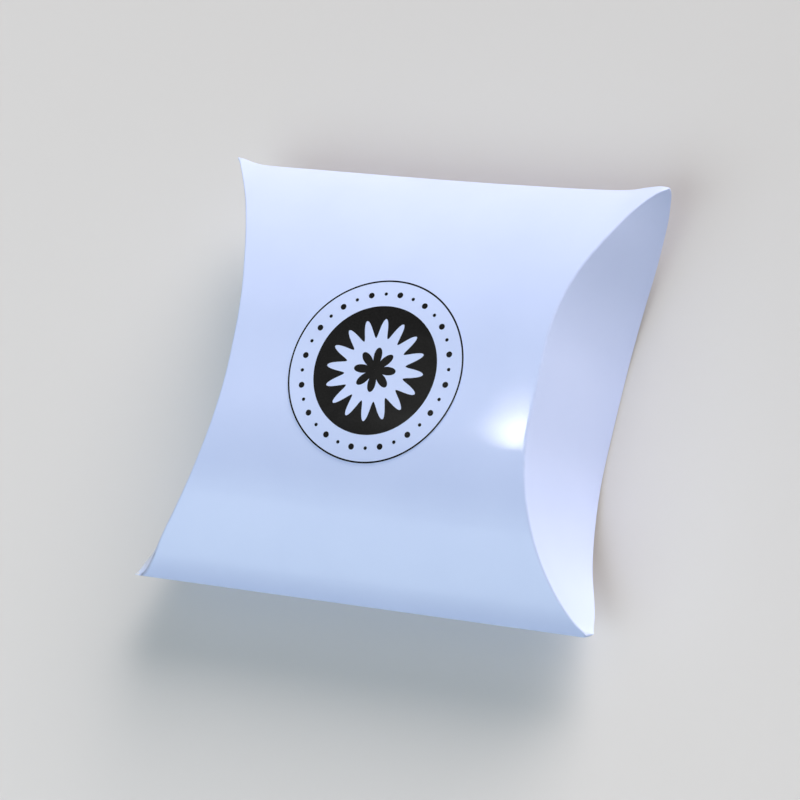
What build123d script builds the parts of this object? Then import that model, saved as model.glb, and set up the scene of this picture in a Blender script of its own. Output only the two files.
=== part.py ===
from build123d import *
import math
import os

# A pillow box folded from one card blank, lying on its back panel.
# X runs from end to end, Y from side fold to side fold, Z up through the thickness.
# The origin is on the surface that the box lies on, under the middle of the box.

# Whole box, in millimetres
length = 98.6              # end to end, over the blunt corners
width = 90.0               # side fold to side fold
height = 24.5              # outer face to outer face, at the middle
corner_blunt = 1.5         # each corner stops this far short of where its folds would meet
end_recess = 16.5          # how far each end's fold runs in from where the folds would meet
flat_middle = 14.0         # width of the flat strip along the middle of each panel
card = 0.4                 # thickness of the card

# End flaps
fold_gap = 0.12            # room between a flap and its panel along the curved fold
outer_edge_lift = 0.35     # outer flap's free edge above the far fold, at the middle
outer_tip_lift = 1.4       # the same towards the tips
inner_edge_drop = 1.8      # inner flap's free edge below the middle of the end
tip_setback = 2.5          # flap tips stop this far short of the side folds

# Side seam
glue_flap_width = 12.0     # measured up the front panel's inner face, from the side fold
glue_flap_end_setback = 4.0
glue_room = 0.2            # between the glue flap and the front panel
glue_margin = 2.0          # bare card around the glue

# Round label on the front panel
label_diameter = 38.0
label_rise = 0.15          # label's face above the panel's

# Room between pieces that lie on each other
stack_gap = 0.05

# One overrun for every cutting body
overrun = 5.0

# The fold at each end lies in a slanted plane. In that plane it is a straight middle
# between two equal arcs, and everything curved follows from those arcs.
fold_meeting = length / 2 + corner_blunt
half_width = width / 2
half_height = height / 2
half_flat = flat_middle / 2
arc_span = half_width - half_flat
arc_rise = math.hypot(end_recess, half_height)
arc_radius = (arc_span**2 + arc_rise**2) / (2 * arc_rise)
arc_centre_drop = arc_radius - arc_rise
rise_per_arc = half_height / arc_rise
recess_per_arc = end_recess / arc_rise

# A closed flap drops this much per unit of its own depth, and leans out by the rest
flap_drop_share = 2 * rise_per_arc * recess_per_arc
flap_lean_angle = 90 - 2 * math.degrees(math.atan2(half_height, end_recess))


def stretched_ellipse(across_radius, rise_radius):
    """An ellipse cut in two halves across, with a flat stretch set between them."""
    right = EllipticalCenterArc((half_flat, 0), across_radius, rise_radius,
                                start_angle=-90, arc_size=180)
    left = EllipticalCenterArc((-half_flat, 0), across_radius, rise_radius,
                               start_angle=90, arc_size=180)
    top = Line((half_flat, rise_radius), (-half_flat, rise_radius))
    bottom = Line((-half_flat, -rise_radius), (half_flat, -rise_radius))
    return make_face([right, top, left, bottom])


def shell_tube(outer_growth, inner_growth):
    """Front half of the lens tube, between two faces set off from the card's outer face."""
    centre = -rise_per_arc * arc_centre_drop
    rise_radius = rise_per_arc * arc_radius
    outer = stretched_ellipse(arc_radius + outer_growth, rise_radius + outer_growth)
    inner = stretched_ellipse(arc_radius + inner_growth, rise_radius + inner_growth)
    ring = Plane.YZ * Pos(0, centre) * (outer - inner)
    reach = fold_meeting + end_recess + overrun
    tube = Pos(-reach, 0, 0) * extrude(ring, amount=2 * reach)
    tall = half_height + overrun
    front_half = Box(2 * reach, width + 2 * overrun, tall,
                     align=(Align.CENTER, Align.CENTER, Align.MIN))
    return tube & front_half


def fold_plane(down_the_plane=0):
    """The slanted plane of the front fold at the +X end, normal pointing out of the box."""
    meeting = Vector(fold_meeting, 0, 0)
    downhill = Vector(recess_per_arc, 0, -rise_per_arc)
    return Plane(origin=meeting + downhill * down_the_plane, x_dir=(0, 1, 0),
                 z_dir=(rise_per_arc, 0, recess_per_arc))


def fold_prism(growth):
    """Prism whose side stands on the front fold at the +X end, square to the fold's plane."""
    outline = stretched_ellipse(arc_radius + growth, arc_radius + growth)
    return extrude(fold_plane(arc_centre_drop) * outline, amount=length, both=True)


def both_ends(cutter):
    return [cutter, mirror(cutter, about=Plane.YZ)]


def to_back(shape):
    return mirror(shape, about=Plane.XY)


def make_panel():
    """Front panel: the lens tube's front half between the two curved folds."""
    tube = shell_tube(0, -card)
    between_ends = Box(length, width + 2 * overrun, 2 * height)
    panel = tube & between_ends
    for cutter in both_ends(fold_prism(0)):
        panel = panel - cutter
    return panel


def folded(stock):
    """A curved fold closes as the panel's run past the fold, mirrored in the fold's plane."""
    return mirror(stock, about=fold_plane())


def flap_stock():
    """The front panel's sheet past the fold. The card lies outside the sheet here, because
    the fold's mirror turns it to the inside."""
    return shell_tube(card, 0) & fold_prism(-fold_gap) & tip_trim()


def make_outer_flap():
    """Front panel's flap at the +X end, closed."""
    # in the unfolded sheet the free edge is a flatter arc than the fold
    depth_rise = (height + outer_tip_lift - outer_edge_lift) / flap_drop_share
    tip_depth = outer_tip_lift / flap_drop_share
    edge_per_arc = (depth_rise - end_recess) / arc_rise
    edge_outline = Rot(0, 0, 90) * stretched_ellipse(arc_radius, edge_per_arc * arc_radius)
    edge_centre = fold_meeting - tip_depth - edge_per_arc * arc_centre_drop
    sheet = Pos(edge_centre, 0, -height) * extrude(edge_outline, amount=2 * height)
    return folded(flap_stock() & sheet)


def make_inner_flap():
    """Back panel's flap at the +X end. It stops short of the middle, behind the outer flap."""
    above_middle = Box(2 * length, 2 * width, height,
                       align=(Align.CENTER, Align.CENTER, Align.MIN))
    return to_back(folded(flap_stock()) & Pos(0, 0, inner_edge_drop) * above_middle)


def tip_trim():
    return Pos(fold_meeting, 0, 0) * Box(4 * height, width - 2 * tip_setback, 4 * height)


def seam_strip(outer_growth, inner_growth, strip_width, side_margin, end_setback):
    """A strip of the front half near the +Y side fold, stopping short of both ends."""
    strip = shell_tube(outer_growth, inner_growth)
    outer_side = half_width - side_margin
    window = Box(length, strip_width, 2 * height, align=(Align.CENTER, Align.MAX, Align.CENTER))
    strip = strip & Pos(0, outer_side, 0) * window
    for cutter in both_ends(fold_prism(end_setback)):
        strip = strip - cutter
    return strip


def make_glue_flap():
    """Strip of the back panel's card folded in and glued to the front panel's inner face."""
    outer_growth = -card - glue_room
    return seam_strip(outer_growth, outer_growth - card, glue_flap_width,
                      stack_gap, glue_flap_end_setback)


def make_glue_line():
    outer_growth = -card - stack_gap
    inner_growth = -card - glue_room + stack_gap
    return seam_strip(outer_growth, inner_growth, glue_flap_width - 2 * glue_margin,
                      glue_margin, glue_flap_end_setback + glue_margin)


def make_label():
    disc = extrude(Circle(label_diameter / 2), amount=height)
    return shell_tube(label_rise, stack_gap) & disc


outer_flap = make_outer_flap()
inner_flap = make_inner_flap()
panel = make_panel()

parts = {
    "front_panel": panel,
    "back_panel": to_back(panel),
    "glue_flap": make_glue_flap(),
    "glue_line": make_glue_line(),
    "round_label": make_label(),
    "right_outer_flap": outer_flap,
    "right_inner_flap": inner_flap,
    "left_outer_flap": mirror(outer_flap, about=Plane.YZ),
    "left_inner_flap": mirror(inner_flap, about=Plane.YZ),
}

os.makedirs("parts", exist_ok=True)
for name, shape in parts.items():
    export_step(Pos(0, 0, half_height) * shape, "parts/" + name + ".step")

print("fold radius", round(arc_radius, 2), "flap lean", round(flap_lean_angle, 2))
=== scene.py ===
import bpy
import math
from collections import Counter
from mathutils import Matrix, Vector


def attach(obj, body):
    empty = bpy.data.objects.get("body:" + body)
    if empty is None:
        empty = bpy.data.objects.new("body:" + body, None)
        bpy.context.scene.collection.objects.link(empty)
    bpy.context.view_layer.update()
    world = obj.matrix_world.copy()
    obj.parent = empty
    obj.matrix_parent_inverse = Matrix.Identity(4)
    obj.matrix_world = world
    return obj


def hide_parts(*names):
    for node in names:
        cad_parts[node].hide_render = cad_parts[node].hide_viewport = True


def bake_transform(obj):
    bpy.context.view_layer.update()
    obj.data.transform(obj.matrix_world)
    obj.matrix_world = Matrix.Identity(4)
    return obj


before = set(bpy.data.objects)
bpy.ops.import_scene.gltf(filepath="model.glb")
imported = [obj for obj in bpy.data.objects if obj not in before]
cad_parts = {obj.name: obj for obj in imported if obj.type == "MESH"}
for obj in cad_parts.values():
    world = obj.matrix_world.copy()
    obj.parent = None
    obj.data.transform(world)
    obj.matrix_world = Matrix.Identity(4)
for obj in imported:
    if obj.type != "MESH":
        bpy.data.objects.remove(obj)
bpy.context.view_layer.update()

# The box in metres, in the CAD frame: X end to end, Y side fold to side fold, Z up
MM = 0.001
HALF_WIDTH = 45.0 * MM
HALF_HEIGHT = 12.25 * MM
MIDDLE = HALF_HEIGHT
FOLD_MEETING = 50.8 * MM       # where an end fold would meet the side fold
END_RECESS = 16.5 * MM
HALF_FLAT = 7.0 * MM
CARD = 0.4 * MM
FOLD_RISE = math.hypot(END_RECESS, HALF_HEIGHT)
ARC_SPAN = HALF_WIDTH - HALF_FLAT
ARC_RADIUS = (ARC_SPAN ** 2 + FOLD_RISE ** 2) / (2 * FOLD_RISE)

# A closed flap runs down and out from its fold along this direction
FLAP_OUT = (END_RECESS ** 2 - HALF_HEIGHT ** 2) / FOLD_RISE ** 2
FLAP_DOWN = 2 * END_RECESS * HALF_HEIGHT / FOLD_RISE ** 2
FOLD_TURN = math.acos(FLAP_OUT)
FOLD_SLOPE = math.atan2(HALF_HEIGHT, END_RECESS)


def bulge(y):
    """Height of the panel over the side folds, as a share of its height at the middle."""
    across = max(abs(y) - HALF_FLAT, 0.0)
    reach = max(ARC_RADIUS ** 2 - across ** 2, 0.0)
    return max((math.sqrt(reach) - ARC_RADIUS + FOLD_RISE) / FOLD_RISE, 0.0)


def smooth(low, high, value):
    """Eases from 0 at low to 1 at high."""
    t = min(max((value - low) / (high - low), 0.0), 1.0)
    return t * t * (3 - 2 * t)


# Camera, fitted to the photo
SENSOR_WIDTH = 36.0
FOCAL_LENGTH = 145.26
eye = Vector((288.7, -149.85, 568.13)) * MM
right = Vector((0.88866, 0.21709, -0.40392))
up = Vector((-0.09504, 0.94891, 0.3009))
back = Vector((0.4486, -0.22901, 0.86389))
camera_data = bpy.data.cameras.new("camera")
camera_data.sensor_width = SENSOR_WIDTH
camera_data.lens = FOCAL_LENGTH
camera_data.clip_start = 0.01
camera = bpy.data.objects.new("camera", camera_data)
camera.matrix_world = Matrix.Translation(eye) @ Matrix((right, up, back)).transposed().to_4x4()
bpy.context.scene.collection.objects.link(camera)
bpy.context.scene.camera = camera


# Materials. Noise scales are per metre, and colours are linear.
# Dark blue-grey mixed in along the folds: light real wear on every fold, and painted shade for the
# dark shadow line in the crease at the left end's front corner
WEAR_AND_SHADE_COLOUR = (0.20, 0.23, 0.34, 1)


def new_material(name):
    material = bpy.data.materials.new(name)
    material.use_nodes = True
    nodes = material.node_tree.nodes
    return material, nodes, material.node_tree.links, nodes["Principled BSDF"]


def noise(nodes, links, scale, detail=3.0, roughness=0.5):
    place = nodes.new("ShaderNodeTexCoord")
    texture = nodes.new("ShaderNodeTexNoise")
    texture.inputs["Scale"].default_value = scale
    texture.inputs["Detail"].default_value = detail
    texture.inputs["Roughness"].default_value = roughness
    links.new(place.outputs["Object"], texture.inputs["Vector"])
    return texture.outputs["Fac"]


def ramp(nodes, links, factor, stops):
    node = nodes.new("ShaderNodeValToRGB")
    elements = node.color_ramp.elements
    while len(elements) < len(stops):
        elements.new(0.5)
    for element, (position, colour) in zip(elements, stops):
        element.position = position
        element.color = colour
    links.new(factor, node.inputs["Fac"])
    return node.outputs["Color"]


def grey(value):
    return (value, value, value, 1.0)


def bump(nodes, links, height, distance, normal=None):
    node = nodes.new("ShaderNodeBump")
    node.inputs["Strength"].default_value = 1.0
    node.inputs["Distance"].default_value = distance
    links.new(height, node.inputs["Height"])
    if normal is not None:
        links.new(normal, node.inputs["Normal"])
    return node.outputs["Normal"]


def worn_and_shaded(nodes, links, colour):
    """The colour, darker along the folds by the flaps' own value: light wear, and painted crease
    shade.
    """
    wear = nodes.new("ShaderNodeAttribute")
    wear.attribute_name = "fold_wear_and_shade"
    patches = nodes.new("ShaderNodeMath")
    patches.operation = "MULTIPLY"
    links.new(wear.outputs["Fac"], patches.inputs[0])
    links.new(ramp(nodes, links, noise(nodes, links, 400.0), [(0.3, grey(0.3)), (0.7, grey(0.9))]),
              patches.inputs[1])
    mix = nodes.new("ShaderNodeMix")
    mix.data_type = "RGBA"
    links.new(patches.outputs[0], mix.inputs["Factor"])
    links.new(colour, mix.inputs["A"])
    mix.inputs["B"].default_value = WEAR_AND_SHADE_COLOUR
    return mix.outputs["Result"]


def gloss_coat(nodes, links, shader):
    """Clear coat with a faint orange peel, which breaks up the edge of a small highlight."""
    shader.inputs["Coat Weight"].default_value = 0.7
    shader.inputs["Coat Roughness"].default_value = 0.036
    shader.inputs["Coat IOR"].default_value = 1.48
    peel = noise(nodes, links, 1700.0, roughness=0.6)
    links.new(bump(nodes, links, peel, 0.005 * MM), shader.inputs["Coat Normal"])


def make_gloss_card():
    """White gloss-coated card: faint mottling, fine fibres, handling marks, worn folds, painted
    crease shade.
    """
    material, nodes, links, shader = new_material("gloss_card")
    mottling = noise(nodes, links, 60.0, detail=4.0)
    colour = ramp(nodes, links, mottling, [
        (0.3, (0.534, 0.644, 0.945, 1)), (0.7, (0.560, 0.670, 0.970, 1))])
    links.new(worn_and_shaded(nodes, links, colour), shader.inputs["Base Color"])
    handling = noise(nodes, links, 220.0, detail=5.0, roughness=0.6)
    links.new(ramp(nodes, links, handling, [(0.35, grey(0.28)), (0.75, grey(0.36))]),
              shader.inputs["Roughness"])
    fibres = bump(nodes, links, noise(nodes, links, 5200.0, detail=2.0), 0.003 * MM)
    links.new(bump(nodes, links, noise(nodes, links, 900.0, detail=2.0), 0.008 * MM, fibres),
              shader.inputs["Normal"])
    shader.inputs["Specular IOR Level"].default_value = 0.5
    gloss_coat(nodes, links, shader)
    return material


def make_bare_card(name, low, high):
    """Uncoated side or cut edge of the card, with a visible fibre."""
    material, nodes, links, shader = new_material(name)
    fibre = noise(nodes, links, 1800.0, detail=6.0, roughness=0.7)
    links.new(ramp(nodes, links, fibre, [(0.3, low), (0.7, high)]), shader.inputs["Base Color"])
    shader.inputs["Roughness"].default_value = 0.85
    shader.inputs["Specular IOR Level"].default_value = 0.25
    links.new(bump(nodes, links, fibre, 0.02 * MM), shader.inputs["Normal"])
    return material


gloss_card = make_gloss_card()
inner_card = make_bare_card("inner_card", (0.56, 0.58, 0.62, 1), (0.66, 0.68, 0.72, 1))
cut_edge = make_bare_card("cut_edge", (0.62, 0.66, 0.74, 1), (0.78, 0.81, 0.88, 1))


def make_film():
    material, nodes, links, shader = new_material("label_film")
    mottling = noise(nodes, links, 90.0)
    links.new(ramp(nodes, links, mottling, [
        (0.3, (0.537, 0.647, 0.947, 1)), (0.7, (0.557, 0.667, 0.968, 1))]),
        shader.inputs["Base Color"])
    shader.inputs["Roughness"].default_value = 0.32
    shader.inputs["Specular IOR Level"].default_value = 0.5
    links.new(bump(nodes, links, noise(nodes, links, 900.0), 0.006 * MM), shader.inputs["Normal"])
    gloss_coat(nodes, links, shader)
    return material


def make_ink():
    material, nodes, links, shader = new_material("black_ink")
    density = noise(nodes, links, 2600.0, detail=4.0, roughness=0.7)
    links.new(ramp(nodes, links, density, [(0.35, grey(0.004)), (0.8, grey(0.010))]),
              shader.inputs["Base Color"])
    wear = noise(nodes, links, 500.0, detail=5.0)
    links.new(ramp(nodes, links, wear, [(0.35, grey(0.14)), (0.75, grey(0.24))]),
              shader.inputs["Roughness"])
    shader.inputs["Specular IOR Level"].default_value = 0.13
    links.new(bump(nodes, links, noise(nodes, links, 1500.0), 0.004 * MM), shader.inputs["Normal"])
    return material


def make_glue():
    material, nodes, links, shader = new_material("dried_glue")
    lumps = noise(nodes, links, 500.0, detail=4.0)
    links.new(ramp(nodes, links, lumps, [(0.3, (0.68, 0.64, 0.50, 1)), (0.7, (0.80, 0.77, 0.66, 1))]),
              shader.inputs["Base Color"])
    shader.inputs["Roughness"].default_value = 0.45
    links.new(bump(nodes, links, lumps, 0.05 * MM), shader.inputs["Normal"])
    return material


film = make_film()
ink = make_ink()
dried_glue = make_glue()


# End folds: the card bends over this length, gently at both ends of the bend
BEND_ARC = 0.95 * MM
BEND_STEPS = 10
FINE_STEPS = 40                # to each of the bend's own steps, while its points are added up


def bend_profile():
    """Points along the bend, out and down from where it leaves the panel, and its reach."""
    step_count = BEND_STEPS * FINE_STEPS
    out = down = 0.0
    points = [(0.0, 0.0)]
    for k in range(step_count):
        angle = FOLD_TURN * smooth(0, 1, (k + 0.5) / step_count)
        out += math.cos(angle) * BEND_ARC / step_count
        down += math.sin(angle) * BEND_ARC / step_count
        if (k + 1) % FINE_STEPS == 0:
            points.append((out, down))
    return points, down / FLAP_DOWN


BEND, BEND_REACH = bend_profile()

# Side folds: outer radius of the card there
SIDE_BEND = 0.45 * MM

# Steps across one half of the section: its arc, its side fold and half of its flat middle
ARC_STEPS = 72
ARC_CROWDING = 1.5             # over 1, the arc's points crowd towards the side fold
SIDE_BEND_STEPS = 6
HALF_FLAT_STEPS = 8


def section():
    """(y, share of the height) across the front panel, closest together at the side folds."""
    slope_run = ARC_SPAN / math.sqrt(ARC_RADIUS ** 2 - ARC_SPAN ** 2)
    slope = math.atan(HALF_HEIGHT / FOLD_RISE * slope_run)
    centre = HALF_WIDTH - SIDE_BEND / math.sin(slope)
    tangent = centre + SIDE_BEND * math.sin(slope)
    full = math.asin((tangent - HALF_FLAT) / ARC_RADIUS)
    arc = [HALF_FLAT + ARC_RADIUS * math.sin(full * (1 - (1 - i / ARC_STEPS) ** ARC_CROWDING))
           for i in range(1, ARC_STEPS + 1)]
    half = [(y, bulge(y)) for y in arc]
    # the rounded side fold, scaled to meet the arc exactly
    meet = half[-1][1] * HALF_HEIGHT / (SIDE_BEND * math.cos(slope))
    for i in range(1, SIDE_BEND_STEPS + 1):
        angle = (math.pi / 2 - slope) * (1 - i / SIDE_BEND_STEPS)
        half.append((centre + SIDE_BEND * math.cos(angle),
                     SIDE_BEND * math.sin(angle) * meet / HALF_HEIGHT))
    flat = [(HALF_FLAT * i / HALF_FLAT_STEPS, 1.0)
            for i in range(-HALF_FLAT_STEPS, HALF_FLAT_STEPS + 1)]
    return [(-y, share) for y, share in reversed(half)] + flat + half


SECTION = section()
COLUMNS = 130                  # steps along a panel, from end to end

# How the real box departs from the straight pattern, as the photo shows it, in millimetres.
# Each pair is a place along a fold or an edge, and how far that sits out from the pattern.
# The keys are the end, 1 for the right and -1 for the left, and the line there: the front panel's
# fold, the back panel's fold, or the outer flap's free edge.
END_FOLDS = {
    (1, "front"): [(-45, 0.3), (-42.5, -0.4), (-37, -0.3), (-26, 0.15), (-12, 0.3), (6, 0.1),
                   (20, -0.05), (29, -0.2), (34, -0.65), (38, -1.45), (42, -2.1), (45, -2.4)],
    (1, "back"): [(-45, 1.2), (-40, 1.1), (-33, 0.4), (-24, 0.0), (28, 0.0), (38, -0.8),
                  (45, -2.4)],
    (1, "edge"): [(-45, 1.2), (-43, 1.2), (-39.5, 1.5), (-36, 1.3), (-30, 0.53), (-22, 0.02),
                  (-12, -0.28), (0, -0.1), (10, 0.2), (24, 0.47), (32, 0.42), (38, -0.19),
                  (41, -0.88), (45, -2.4)],
    (-1, "front"): [(-45, -2.5), (-42.5, -1.85), (-40, -1.1), (-37, -0.4), (-34, -0.12),
                    (-30, 0.0), (-22, -0.05), (-13, -0.42), (-3, -0.8), (6, -0.52),
                    (14, -0.05), (21, 0.36), (30, 0.39), (36, 0.05), (41, -0.25), (45, -0.45)],
    (-1, "back"): [(-45, -0.6), (-42.5, 0.5), (-38, 1.2), (-31, 0.5), (-24, 0.0), (30, 0.0),
                   (45, -0.45)],
    (-1, "edge"): [(-45, -0.6), (-43, 0.6), (-41, 1.7), (-38.5, 2.3), (-35, 2.2), (-31, 1.5),
                   (-24, 0.7), (-15, 0.5), (20, 0.4), (34, 0.2), (45, -0.45)],
}
# The same for the side folds, 1 for the one at the back of the photo and -1 for the front one
SIDE_FOLDS = {
    1: [(-50.8, 1.45), (-48.5, 1.12), (-46, 0.43), (-43, 0.02), (-30, -0.15), (0, -0.4),
        (25, -0.25), (36, 0.03), (40, 0.38), (43, 1.05), (46, 1.53), (48.2, 1.25), (50.8, 0.6)],
    -1: [(-50.8, 0.19), (50.8, 0.19)],
}
# By end and side: how far each corner stops short of where its side fold and edge would meet,
# and its radius
CORNERS = {(-1, 1): (0.2, 0.8), (1, 1): (0.4, 0.9), (-1, -1): (-0.8, 1.6), (1, -1): (0.35, 3.2)}
STILL_SHARE = 0.55             # of a row's length, which stays put where its ends are moved
FLARE_START = 28 * MM          # a side fold's flare fades out towards the middle, to here

# The card's unevenness, at most twice this depth: one wave along times one across, and a slanted
# one added. The waves are in radians per metre, and start at so many radians.
WAVE_DEPTH = 0.04 * MM
WAVE_ALONG, WAVE_ALONG_START = 61, 0.7
WAVE_ACROSS, WAVE_ACROSS_START = 47, 0.4
SLANT_ALONG, SLANT_ACROSS = 97, 31


def follow(stops, place):
    """A smooth curve through the stops, read at one place. All in millimetres."""
    place = min(max(place, stops[0][0]), stops[-1][0])
    k = max(i for i in range(len(stops) - 1) if stops[i][0] <= place)

    def slope(i):
        low, high = stops[max(i - 1, 0)], stops[min(i + 1, len(stops) - 1)]
        return (high[1] - low[1]) / (high[0] - low[0])

    (start, first), (end, last) = stops[k], stops[k + 1]
    run = end - start
    t = (place - start) / run
    return (first * (1 + 2 * t) * (1 - t) ** 2 + last * t * t * (3 - 2 * t)
            + run * t * (1 - t) * (slope(k) * (1 - t) - slope(k + 1) * t))


def fold_x(share):
    return FOLD_MEETING - END_RECESS * share


def end_shift(side_x, y, pattern_x, line):
    """How far one end line sits out from pattern_x at one row, kept inside the round corner."""
    blunt, radius = (v * MM for v in CORNERS[(side_x, 1 if y > 0 else -1)])
    inward = min(max(HALF_WIDTH - abs(y), 0.0), radius)
    cut = radius - math.sqrt(radius ** 2 - (radius - inward) ** 2)
    corner = math.copysign(HALF_WIDTH / MM, y)
    tip = FOLD_MEETING + follow(END_FOLDS[(side_x, "edge")], corner) * MM
    out = follow(END_FOLDS[(side_x, line)], y / MM) * MM
    return min(out, tip - blunt - cut - pattern_x)


def place_point(side_x, x, y, shift, row_end):
    """Moves a point of the pattern to where the real box has it. shift is its row's own."""
    x += side_x * shift * smooth(STILL_SHARE, 1.0, abs(x) / row_end)
    flare = follow(SIDE_FOLDS[1 if y > 0 else -1], x / MM) * MM
    flare *= smooth(FLARE_START, HALF_WIDTH, abs(y))
    return x, y + (flare if y > 0 else -flare)


def waviness(x, y):
    """The card's own unevenness, always inward, which fades out at the side folds."""
    crossed = (math.sin(WAVE_ALONG * x + WAVE_ALONG_START)
               * math.cos(WAVE_ACROSS * y + WAVE_ACROSS_START))
    slanted = math.sin(SLANT_ALONG * x + SLANT_ACROSS * y)
    return -WAVE_DEPTH * (1 + (crossed + slanted) / 2) * bulge(y)


# Flaps, measured down from their folds
OUTER_EDGE_LIFT = 0.35 * MM
OUTER_TIP_LIFT = 0.2 * MM
INNER_EDGE_DROP = 1.8 * MM
INNER_TIP = 42.5 * MM
TIP_THINNING = 2.5 * MM        # a flap shallower than this is thinner too
LEAST_DEPTH = 0.02 * MM        # a flap shallower than this is left out
MOST_BEND_SHARE = 0.5          # of a flap's depth, which its bend may take
SHEET_STEPS = 26               # down a flap, from its bend to its free edge

# The crease at the left end's front corner is sharp, and gets painted shade for its dark shadow line:
# full up to the first place, fading out by the second. Every other fold has only the light share of
# its wear.
CREASE_SHADE_FULL = -41 * MM
CREASE_SHADE_GONE = -36 * MM
LIGHT_WEAR_SHARE = 0.2


def outer_depth(y, share):
    drop = (2 * HALF_HEIGHT + OUTER_TIP_LIFT - OUTER_EDGE_LIFT) * share - OUTER_TIP_LIFT
    return max(drop / FLAP_DOWN, 0.0)


def inner_depth(y, share):
    drop = HALF_HEIGHT * share - INNER_EDGE_DROP
    return max(drop / FLAP_DOWN, 0.0) if abs(y) < INNER_TIP else 0.0


def bend_size(depth):
    """The bend's size as a share of its full size, smaller where the flap runs out."""
    return min(MOST_BEND_SHARE * depth / BEND_REACH, 1.0)


def add_mesh(name, points, faces, materials, smooth_shading=True):
    mesh = bpy.data.meshes.new(name)
    mesh.from_pydata(points, [], faces)
    for material in materials:
        mesh.materials.append(material)
    mesh.update()
    if smooth_shading:
        mesh.polygons.foreach_set("use_smooth", [True] * len(mesh.polygons))
        uses = Counter(key for face in mesh.polygons for key in face.edge_keys)
        for edge in mesh.edges:
            edge.use_edge_sharp = uses[edge.key] == 1
    piece = bpy.data.objects.new(name, mesh)
    bpy.context.scene.collection.objects.link(piece)
    return piece


def thicken(piece, thinning=()):
    """Gives the sheet the card's thickness, inward, or at each point a share of it."""
    solid = piece.modifiers.new("card", "SOLIDIFY")
    solid.thickness = CARD
    solid.offset = -1
    solid.use_even_offset = not thinning
    if thinning:
        group = piece.vertex_groups.new(name="thickness")
        for k, share in enumerate(thinning):
            group.add([k], share, "REPLACE")
        solid.vertex_group = "thickness"
    # the inner face takes the piece's second material, and the rim its third
    solid.material_offset = 1
    solid.material_offset_rim = 2


def grid_faces(row_count, column_count, flip=False):
    faces = []
    for i in range(row_count - 1):
        for j in range(column_count - 1):
            start = i * column_count + j
            quad = (start, start + 1, start + column_count + 1, start + column_count)
            faces.append(tuple(reversed(quad)) if flip else quad)
    return faces


def make_panel(name, node, side_z, line, depth_at):
    points = []
    for y, share in SECTION:
        end = fold_x(share) - BEND_REACH * bend_size(depth_at(y, share))
        shifts = {side_x: end_shift(side_x, y, fold_x(share), line) for side_x in (-1, 1)}
        for j in range(COLUMNS + 1):
            x = end * (2 * j / COLUMNS - 1)
            side_x = 1 if x > 0 else -1
            z = MIDDLE + side_z * (HALF_HEIGHT * share + waviness(x, y))
            points.append((*place_point(side_x, x, y, shifts[side_x], end), z))
    piece = add_mesh(name, points, grid_faces(len(SECTION), COLUMNS + 1, flip=side_z < 0),
                     [gloss_card, inner_card, cut_edge])
    thicken(piece)
    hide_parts(node)
    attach(piece, "box")


def opening_share(x, z):
    """Share of the hinge's turn that a point of a flap takes, from 0 at its fold to 1."""
    out = x - (FOLD_MEETING - END_RECESS)
    down = HALF_HEIGHT - z
    angle = math.atan2(down, out) - FOLD_SLOPE
    return min(max(2 * angle / FOLD_TURN, 0.0), 1.0)


def flap_row(share, depth):
    """(x, z over the mid-plane, share of the turn, share of the depth) from panel to free edge."""
    size = bend_size(depth)
    reach = BEND_REACH * size
    start_x, start_z = fold_x(share) - reach, HALF_HEIGHT * share
    bend = [(start_x + out * size, start_z - down * size) for out, down in BEND]
    turned = opening_share(*bend[-1])
    row = [(x, z, turned * k / BEND_STEPS, reach / depth * k / BEND_STEPS)
           for k, (x, z) in enumerate(bend)]
    for k in range(1, SHEET_STEPS + 1):
        run = (depth - reach) * k / SHEET_STEPS
        x, z = bend[-1][0] + FLAP_OUT * run, bend[-1][1] - FLAP_DOWN * run
        row.append((x, z, opening_share(x, z), (reach + run) / depth))
    return row


def painted_crease_shade(side_x, y):
    """1 where the left fold takes painted crease shade, towards its front corner, 0 elsewhere."""
    return 0.0 if side_x > 0 else 1 - smooth(CREASE_SHADE_FULL, CREASE_SHADE_GONE, y)


def make_flap(name, node, side_x, side_z, fold, edge, depth_at):
    """An end flap with the rounded fold that joins it to its panel."""
    lines = [(y, share, depth_at(y, share)) for y, share in SECTION]
    lines = [(y, share, depth) for y, share, depth in lines if depth >= LEAST_DEPTH]
    points, weights, wear, thinning = [], [], [], []
    for y, share, depth in lines:
        row = flap_row(share, depth)
        at_fold = end_shift(side_x, y, fold_x(share), fold)
        at_edge = end_shift(side_x, y, row[-1][0], edge)
        for k, (x, z, weight, down) in enumerate(row):
            shift = at_fold + (at_edge - at_fold) * down
            # the panel's unevenness fades out along the bend
            wave = waviness(side_x * x, y) * max(1 - k / BEND_STEPS, 0.0)
            place = place_point(side_x, side_x * x, y, shift, row[0][0])
            points.append((*place, MIDDLE + side_z * (z + wave)))
            weights.append(weight)
            thinning.append(min(depth / TIP_THINNING, 1.0))
            # the wear, and the painted crease shade, are strongest in the middle of the bend
            crease = max(1 - abs(2 * k / BEND_STEPS - 1), 0.0)
            crease_shade = painted_crease_shade(side_x, y)
            wear.append(crease * (LIGHT_WEAR_SHARE + (1 - LIGHT_WEAR_SHARE) * crease_shade))
    piece = add_mesh(name, points, grid_faces(len(lines), len(row), flip=side_x * side_z < 0),
                     [gloss_card, inner_card, cut_edge])
    piece.data.attributes.new("fold_wear_and_shade", "FLOAT", "POINT").data.foreach_set("value", wear)
    thicken(piece, thinning)
    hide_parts(node)
    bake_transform(piece)


make_panel("front_sheet", "front_panel", 1, "front", outer_depth)
make_panel("back_sheet", "back_panel", -1, "back", inner_depth)
for side_x, end in ((1, "right"), (-1, "left")):
    make_flap(end + "_outer_sheet", end + "_outer_flap", side_x, 1,
              "front", "edge", outer_depth)
    make_flap(end + "_inner_sheet", end + "_inner_flap", side_x, -1,
              "back", "back", inner_depth)


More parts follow.
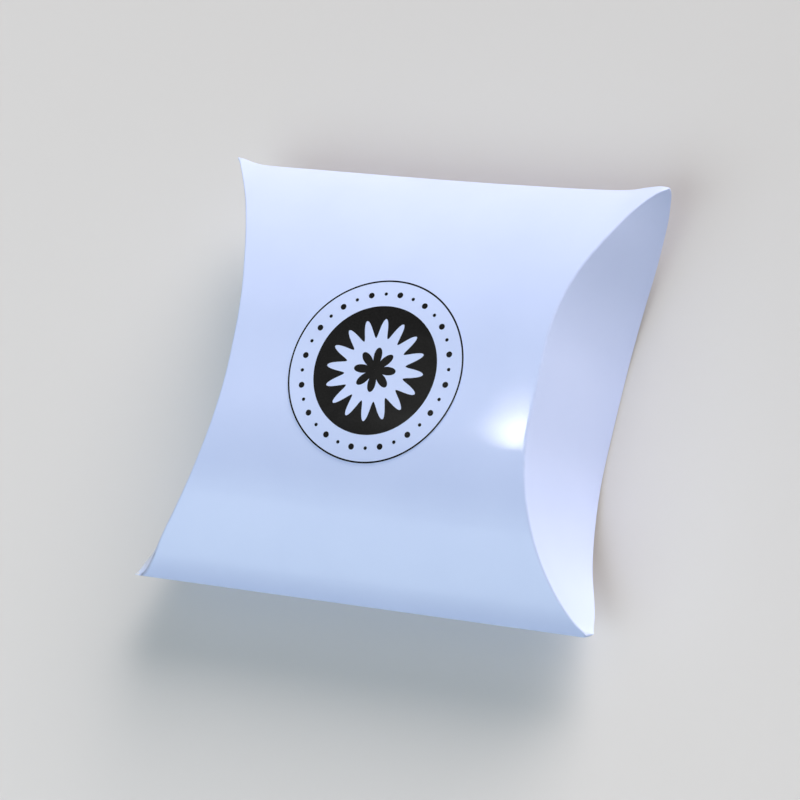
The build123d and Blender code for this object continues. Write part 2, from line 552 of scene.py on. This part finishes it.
# Round label and its generic badge
LABEL_RADIUS = 19.0 * MM
LABEL_CENTRE = (-0.5 * MM, -0.2 * MM)
FILM_THICKNESS = 0.12 * MM
INK_THICKNESS = 0.012 * MM
PIN_HOLE = 0.02 * MM           # a disc's centre, where a ring of points can't close
OUTLINE_INNER = 18.55 * MM
OUTLINE_OUTER = 18.9 * MM
BAND_RADIUS = 13.3 * MM
FLOWER_LOW, FLOWER_HIGH = 6.6 * MM, 10.6 * MM
HEART_LOW, HEART_HIGH = 2.0 * MM, 4.6 * MM
DOT_COUNT = 32
DOT_RING = 15.9 * MM
SMALL_DOT, LARGE_DOT = 0.36 * MM, 0.62 * MM
DOT_PIN_HOLE = 0.01 * MM


def on_panel(x, y, height):
    return (x, y, MIDDLE + HALF_HEIGHT * bulge(y) + waviness(x, y) + height)


def polar_patch(name, centre, inner, outer, rings, sectors, height, material, thickness):
    """A thin ring or disc laid on the panel. inner and outer give the radius at an angle."""
    points, faces = [], []
    for i in range(rings + 1):
        for j in range(sectors):
            angle = 2 * math.pi * j / sectors
            low, high = inner(angle), outer(angle)
            radius = low + (high - low) * i / rings
            points.append(on_panel(centre[0] + radius * math.cos(angle),
                                   centre[1] + radius * math.sin(angle), height))
    for i in range(rings):
        for j in range(sectors):
            after = (j + 1) % sectors
            faces.append((i * sectors + j, (i + 1) * sectors + j,
                          (i + 1) * sectors + after, i * sectors + after))
    piece = add_mesh(name, points, faces, [material])
    solid = piece.modifiers.new("film", "SOLIDIFY")
    solid.thickness = thickness
    solid.offset = -1
    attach(piece, "box")
    return piece


def constant(radius):
    """A circle's outline: the same radius at every angle."""
    return lambda angle: radius


def petals(count, low, high, sharpness):
    """A flower's outline, from low between its petals to high at their tips."""
    def radius(angle):
        swing = abs(math.cos(angle * count / 2))
        return low + (high - low) * swing ** sharpness
    return radius


def ink_patch(name, centre, inner, outer, rings, sectors):
    """A printed shape on the label."""
    polar_patch(name, centre, inner, outer, rings, sectors, FILM_THICKNESS + INK_THICKNESS, ink,
                INK_THICKNESS)


label = polar_patch("label_sheet", LABEL_CENTRE, constant(PIN_HOLE), constant(LABEL_RADIUS),
                    rings=24, sectors=160, height=FILM_THICKNESS, material=film,
                    thickness=FILM_THICKNESS)
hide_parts("round_label")
ink_patch("badge_outline", LABEL_CENTRE, constant(OUTLINE_INNER), constant(OUTLINE_OUTER),
          rings=1, sectors=200)
ink_patch("badge_band", LABEL_CENTRE, petals(16, FLOWER_LOW, FLOWER_HIGH, sharpness=2.0),
          constant(BAND_RADIUS), rings=10, sectors=320)
ink_patch("badge_heart", LABEL_CENTRE, constant(PIN_HOLE),
          petals(8, HEART_LOW, HEART_HIGH, sharpness=1.0), rings=6, sectors=160)
for k in range(DOT_COUNT):
    angle = 2 * math.pi * (k + 0.5) / DOT_COUNT
    spot = (LABEL_CENTRE[0] + DOT_RING * math.cos(angle),
            LABEL_CENTRE[1] + DOT_RING * math.sin(angle))
    size = LARGE_DOT if k % 2 else SMALL_DOT
    ink_patch("badge_dot_%02d" % k, spot, constant(DOT_PIN_HOLE), constant(size),
              rings=2, sectors=24)

# The hidden CAD nodes keep their own shape, and only get a material
for node, material in (("glue_flap", inner_card), ("glue_line", dried_glue)):
    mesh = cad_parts[node].data
    mesh.materials.clear()
    mesh.materials.append(material)


# Floor, light and world, in metres and watts
FLOOR_REACH = 4.0
ON_THE_BOX = (0, 0, 10 * MM)
FRONT_LAMP = Vector((-0.4, -0.9, 1.1))
FRONT_LAMP_STEP = 0.02         # each nested softbox stands this share further back
FRONT_LAMP_SIZES = ((1.6, 0.8), (1.7, 1.1), (1.8, 1.4))
HIGHLIGHT = Vector((0.0309, -0.0093, 0.0245))
TOWARD_SMALL_LAMP = Vector((-0.4174, 0.161, 0.8906))
SMALL_LAMP_DISTANCE = 0.9
GLOW_TOWARD = (0.321, 0.883, 0.342)
GLOW_SPREAD = math.radians(30)
GLOW_STRENGTH = 11.3
GLOW_DIM = grey(0.0135)
GLOW_BRIGHT = (1.0, 0.905, 0.855, 1)
BACKDROP = grey(0.65)


def make_floor():
    material, nodes, links, shader = new_material("floor")
    tone = noise(nodes, links, 3.0)
    links.new(ramp(nodes, links, tone, [(0.3, grey(0.655)), (0.7, grey(0.685))]),
              shader.inputs["Base Color"])
    shader.inputs["Roughness"].default_value = 0.9
    points = [(x * FLOOR_REACH, y * FLOOR_REACH, 0) for x, y in ((-1, -1), (1, -1), (1, 1), (-1, 1))]
    floor = add_mesh("floor", points, [(0, 1, 2, 3)], [material], smooth_shading=False)


def add_light(name, place, aim, size, power, colour=(1, 1, 1), along=(1, 0, 0),
              shape="RECTANGLE"):
    """A soft lamp. along is the direction that its first side follows."""
    data = bpy.data.lights.new(name, "AREA")
    data.shape = shape
    data.size, data.size_y = size
    data.energy = power
    data.color = colour
    place, along = Vector(place), Vector(along)
    facing = (place - Vector(aim)).normalized()
    side = (along - facing * along.dot(facing)).normalized()
    turn = Matrix((side, facing.cross(side), facing)).transposed().to_4x4()
    lamp = bpy.data.objects.new(name, data)
    lamp.matrix_world = Matrix.Translation(place) @ turn
    bpy.context.scene.collection.objects.link(lamp)


make_floor()
# The front light is three nested softboxes, so that its reflection fades out at its sides
for k, size in enumerate(FRONT_LAMP_SIZES):
    place = FRONT_LAMP * (1 + FRONT_LAMP_STEP * k)
    add_light("front_softbox_%d" % k, place, ON_THE_BOX, size, power=4.95,
              colour=(0.815, 0.935, 1.0))
add_light("low_right_softbox", (1.3, 0.8, 0.2), ON_THE_BOX, size=(0.9, 0.4), power=1.9,
          colour=(0.95, 0.93, 1.0), along=(0, 1, 0))
# The gloss mirrors this one as the highlight beside the right fold
add_light("small_lamp", HIGHLIGHT + TOWARD_SMALL_LAMP * SMALL_LAMP_DISTANCE, HIGHLIGHT,
          size=(0.152, 0.0105), power=0.145, along=(0, -1, 0.2), shape="ELLIPSE")


def make_world():
    """A dim plain world with one soft glow. The camera and the gloss see it as plain pale grey,
    so the glow is never mirrored as a white patch."""
    world = bpy.data.worlds.new("world")
    bpy.context.scene.world = world
    world.use_nodes = True
    nodes, links = world.node_tree.nodes, world.node_tree.links
    place = nodes.new("ShaderNodeTexCoord")
    facing = nodes.new("ShaderNodeVectorMath")
    facing.operation = "DOT_PRODUCT"
    facing.inputs[1].default_value = Vector(GLOW_TOWARD).normalized()
    links.new(place.outputs["Generated"], facing.inputs[0])
    glow = ramp(nodes, links, facing.outputs["Value"],
                [(math.cos(GLOW_SPREAD), GLOW_DIM), (1.0, GLOW_BRIGHT)])
    glow.node.color_ramp.interpolation = "EASE"
    light = nodes["Background"]
    light.inputs["Strength"].default_value = GLOW_STRENGTH
    links.new(glow, light.inputs["Color"])
    backdrop = nodes.new("ShaderNodeBackground")
    backdrop.inputs["Color"].default_value = BACKDROP
    mix = nodes.new("ShaderNodeMixShader")
    path = nodes.new("ShaderNodeLightPath")
    plain = nodes.new("ShaderNodeMath")
    plain.operation = "MAXIMUM"
    links.new(path.outputs["Is Camera Ray"], plain.inputs[0])
    links.new(path.outputs["Is Glossy Ray"], plain.inputs[1])
    links.new(plain.outputs[0], mix.inputs[0])
    links.new(light.outputs[0], mix.inputs[1])
    links.new(backdrop.outputs[0], mix.inputs[2])
    links.new(mix.outputs[0], nodes["World Output"].inputs["Surface"])


make_world()
bpy.context.scene.view_settings.view_transform = "Standard"
